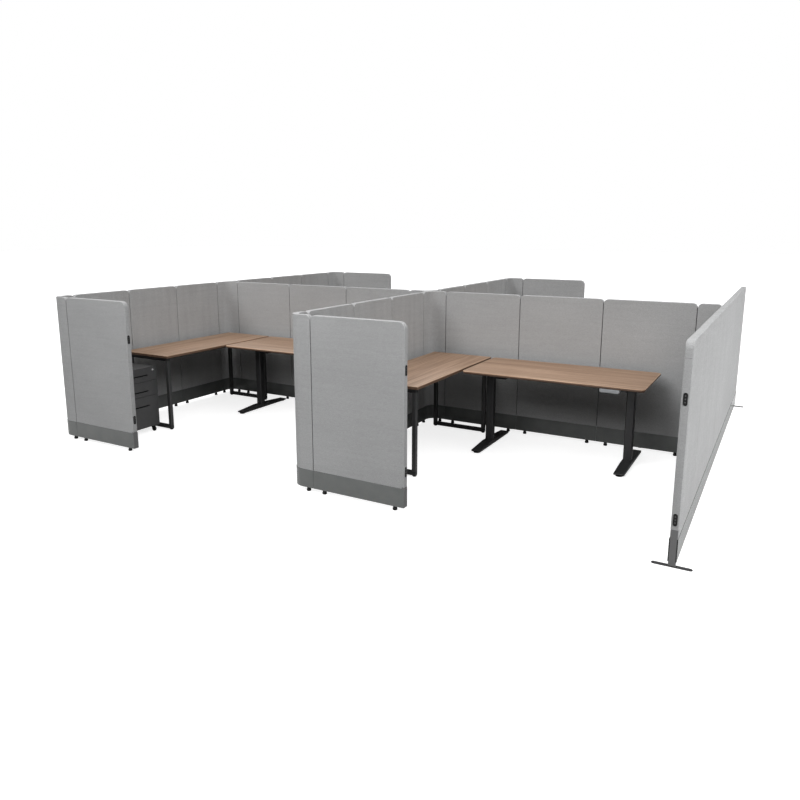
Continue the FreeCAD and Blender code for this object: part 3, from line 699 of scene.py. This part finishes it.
def pull_liner(drawer):
    """The dark scoop at the back of a drawer front's slot pull."""
    half = 0.170 / 2
    tall = 0.0125 / 2
    pocket = 0.013
    thick = 0.004
    lip = 0.0015
    scoop = 0.003
    scoop_floor = 0.001
    low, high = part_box("drawer_front_" + drawer)
    middle = (low.y + high.y) / 2
    z = high.z - PULL_DROPS[drawer]
    back = high.x - pocket
    layers = [(0, back), (0, back + thick), (lip, back + thick), (scoop, back + scoop_floor)]
    mesh = bmesh.new()
    stacked(mesh, rectangle(middle - half, z - tall, middle + half, z + tall, tall), layers,
            lambda u, v, depth: Vector((depth, u, v)), steps=5)
    piece = finished(mesh, "pull_" + drawer, "drawer_" + drawer, [black_plastic],
                     sharp_degrees=40)


for drawer in PULL_DROPS:
    body = "drawer_" + drawer
    face = softened("drawer_front_" + drawer, "face_" + drawer, body, pedestal_coat, width=0.0015)
    tray = softened("drawer_box_" + drawer, "tray_" + drawer, body, pedestal_coat, width=0.0005)
    pull_liner(drawer)


def lock():
    """A round barrel with a rim and a dark key slot."""
    chamfer = 0.0010
    dish = 0.0008
    rim = 0.0022
    well = 0.0028
    slot_half = 0.0009
    slot_tall = 0.0042
    slot_deep = 0.001
    slot_proud = 0.0001
    low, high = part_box("lock_barrel")
    centre = (low + high) / 2
    half = (high.x - low.x) / 2
    radius = (high.z - low.z) / 2
    floor = half - dish
    profile = [(0, -half), (radius, -half), (radius, half - chamfer), (radius - chamfer, half),
               (radius - rim, half), (radius - well, floor), (0, floor)]
    mesh = bmesh.new()
    revolved(mesh, centre, profile, sides=40, axis=0)
    stacked(mesh, rectangle(-slot_half, -slot_tall, slot_half, slot_tall, slot_half),
            [(0, floor - slot_deep), (0, floor + slot_proud)],
            lambda u, v, depth: centre + Vector((depth, u, v)), steps=3,
            slots=[DETAIL] * 2)
    piece = finished(mesh, "round_lock", "lock", [chrome, black_plastic], sharp_degrees=40)
    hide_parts("lock_barrel")


lock()


def wheel(label):
    """A tyre with round shoulders on a recessed hub, bored for its axle."""
    bore = 0.0032
    hub_share = 0.62
    dish_share = 0.6
    hub_slope = 0.001
    shoulder = 0.003
    ease = 0.3 * shoulder
    node = "caster_wheel_" + label
    low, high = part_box(node)
    centre = (low + high) / 2
    radius = (high.z - low.z) / 2
    half = (high.y - low.y) / 2
    hub = hub_share * radius
    dish = dish_share * half
    near_side = [(bore, -dish), (hub, -dish), (hub + hub_slope, -half), (radius - shoulder, -half),
                 (radius - ease, ease - half), (radius, shoulder - half)]
    far_side = [(span, -offset) for span, offset in reversed(near_side)]
    slots = [DETAIL] * 2 + [MAIN] * 7 + [DETAIL] * 3
    mesh = bmesh.new()
    revolved(mesh, centre, near_side + far_side, sides=48, axis=1, slots=slots)
    piece = finished(mesh, "tyre_" + label, "wheel_" + label, [rubber, black_plastic],
                     sharp_degrees=35)
    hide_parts(node)


for caster in CASTERS:
    fork = softened("caster_fork_" + caster, "fork_" + caster, "caster_" + caster, black_plastic,
                    width=0.0005)
    wheel(caster)


# CAD nodes that are shown as they are

for node, material in (("connector_strips", black_plastic), ("panel_frames", steel),
                       ("corner_posts", steel), ("raceway_troughs", steel),
                       ("drawer_slides", steel)):
    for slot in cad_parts[node].material_slots:
        slot.material = material


# Stage, light and camera

# Heights in the sky, as the sine of the elevation, between which its strength rises from one
# level to the other
SKY_STARTS = 0.10
SKY_FULL = 0.60
HORIZON = 0.10
ZENITH = 0.70

# The floor's own glow and colour to the camera, and its colour to other rays and in reflections
FLOOR_GLOW = 0.78
FLOOR_PALE = 0.50
FLOOR_BOUNCE = 0.01
FLOOR_MIRRORED = 0.75


def grey(level):
    """A grey as a colour with alpha."""
    return (level, level, level, 1.0)


def by_ray(tree, kinds, shown, otherwise):
    """The shader that rays of these kinds see, and the one that all others see."""
    path = tree.nodes.new("ShaderNodeLightPath")
    chosen = path.outputs[kinds[0]]
    for kind in kinds[1:]:
        chosen = combined(tree, "MAXIMUM", chosen, path.outputs[kind])
    mix = tree.nodes.new("ShaderNodeMixShader")
    tree.links.new(chosen, mix.inputs["Fac"])
    tree.links.new(otherwise, mix.inputs[1])
    tree.links.new(shown, mix.inputs[2])
    return mix.outputs["Shader"]


def diffuse(tree, level):
    node = tree.nodes.new("ShaderNodeBsdfDiffuse")
    node.inputs["Color"].default_value = grey(level)
    return node.outputs["BSDF"]


def build_world():
    """A sky that is brightest overhead. Seen directly or in a reflection, it is plain white."""
    world = bpy.data.worlds.new("studio")
    bpy.context.scene.world = world
    world.use_nodes = True
    tree = world.node_tree
    place = tree.nodes.new("ShaderNodeTexCoord")
    split = tree.nodes.new("ShaderNodeSeparateXYZ")
    tree.links.new(place.outputs["Generated"], split.inputs["Vector"])
    rise = tree.nodes.new("ShaderNodeMapRange")
    rise.interpolation_type = "SMOOTHSTEP"
    for socket, value in (("From Min", SKY_STARTS), ("From Max", SKY_FULL),
                          ("To Min", HORIZON), ("To Max", ZENITH)):
        rise.inputs[socket].default_value = value
    tree.links.new(split.outputs["Z"], rise.inputs["Value"])
    ambient = tree.nodes["Background"]
    ambient.inputs["Color"].default_value = grey(1.0)
    tree.links.new(rise.outputs["Result"], ambient.inputs["Strength"])
    white = tree.nodes.new("ShaderNodeBackground")
    white.inputs["Color"].default_value = grey(1.0)
    white.inputs["Strength"].default_value = 1.0
    surface = by_ray(tree, ("Is Camera Ray", "Is Glossy Ray"), white.outputs["Background"],
                     ambient.outputs["Background"])
    tree.links.new(surface, tree.nodes["World Output"].inputs["Surface"])


def build_floor():
    """A pale floor that keeps the shadows, shows in reflections and throws little light back up."""
    reach = 60.0
    below = 0.0005
    mesh = bmesh.new()
    bmesh.ops.create_grid(mesh, x_segments=1, y_segments=1, size=reach)
    data = bpy.data.meshes.new("floor")
    mesh.to_mesh(data)
    mesh.free()
    floor = added("floor", data)
    floor.location.z = -below
    material, tree, pale = new_material("pale_floor", 0.9, specular=0.1)
    pale.inputs["Base Color"].default_value = grey(FLOOR_PALE)
    pale.inputs["Emission Color"].default_value = grey(1.0)
    pale.inputs["Emission Strength"].default_value = FLOOR_GLOW
    indirect = by_ray(tree, ("Is Glossy Ray", "Is Transmission Ray"),
                      diffuse(tree, FLOOR_MIRRORED), diffuse(tree, FLOOR_BOUNCE))
    surface = by_ray(tree, ("Is Camera Ray",), pale.outputs["BSDF"], indirect)
    tree.links.new(surface, tree.nodes["Material Output"].inputs["Surface"])
    data.materials.append(material)


def soft_sun(name, towards, softness, irradiance):
    """Parallel light that comes from the direction towards, spread over softness degrees.

    An irradiance of 1 shows a facing surface in its own colour."""
    light = bpy.data.lights.new(name, "SUN")
    light.angle = math.radians(softness)
    light.energy = math.pi * irradiance
    lamp = added(name, light)
    lamp.rotation_euler = Vector(towards).to_track_quat("Z", "Y").to_euler()


def soft_box(name, place, target, width, height, power):
    """A broad lamp of that width and height in metres, which only shows in what it lights."""
    light = bpy.data.lights.new(name, "AREA")
    light.shape = "RECTANGLE"
    light.size = width
    light.size_y = height
    light.energy = power
    lamp = added(name, light)
    lamp.location = place
    lamp.rotation_euler = (Vector(target) - Vector(place)).to_track_quat("-Z", "Y").to_euler()
    lamp.visible_camera = False


def build_camera():
    """The photograph's viewpoint, solved from the panel corners and seams."""
    camera_place = (3.1422, -6.3261, 1.9402)
    pitch = 0.1960
    yaw = 0.5187
    image_width = 800.0
    focal_pixels = 696.93
    centre_x_pixel = 393.01
    centre_y_pixel = 369.27
    data = bpy.data.cameras.new("camera")
    data.sensor_width = 36.0
    data.lens = focal_pixels * data.sensor_width / image_width
    data.shift_x = (image_width / 2 - centre_x_pixel) / image_width
    data.shift_y = (centre_y_pixel - image_width / 2) / image_width
    camera = added("camera", data)
    camera.location = camera_place
    camera.rotation_euler = (QUARTER - pitch, 0.0, yaw)
    bpy.context.scene.camera = camera


build_world()
build_floor()
soft_sun("front_left", (-0.45, -0.85, 0.85), softness=30.0, irradiance=0.38)
soft_sun("right_high", (0.80, -0.20, 0.80), softness=40.0, irradiance=0.30)
soft_sun("back_left", (-0.70, 0.70, 0.55), softness=40.0, irradiance=0.25)
soft_box("right_side", (5.4, -0.6, 0.75), (2.7, -0.6, 0.75), width=9.5, height=1.1, power=152.0)
soft_box("front", (0.1, -4.6, 2.9), (0.1, -2.2, 0.8), width=6.0, height=1.0, power=67.0)
soft_box("above_right", (1.9, -1.3, 3.8), (1.7, -1.0, 0.75), width=1.6, height=1.6, power=14.0)
build_camera()
bpy.context.scene.view_settings.view_transform = "Standard"
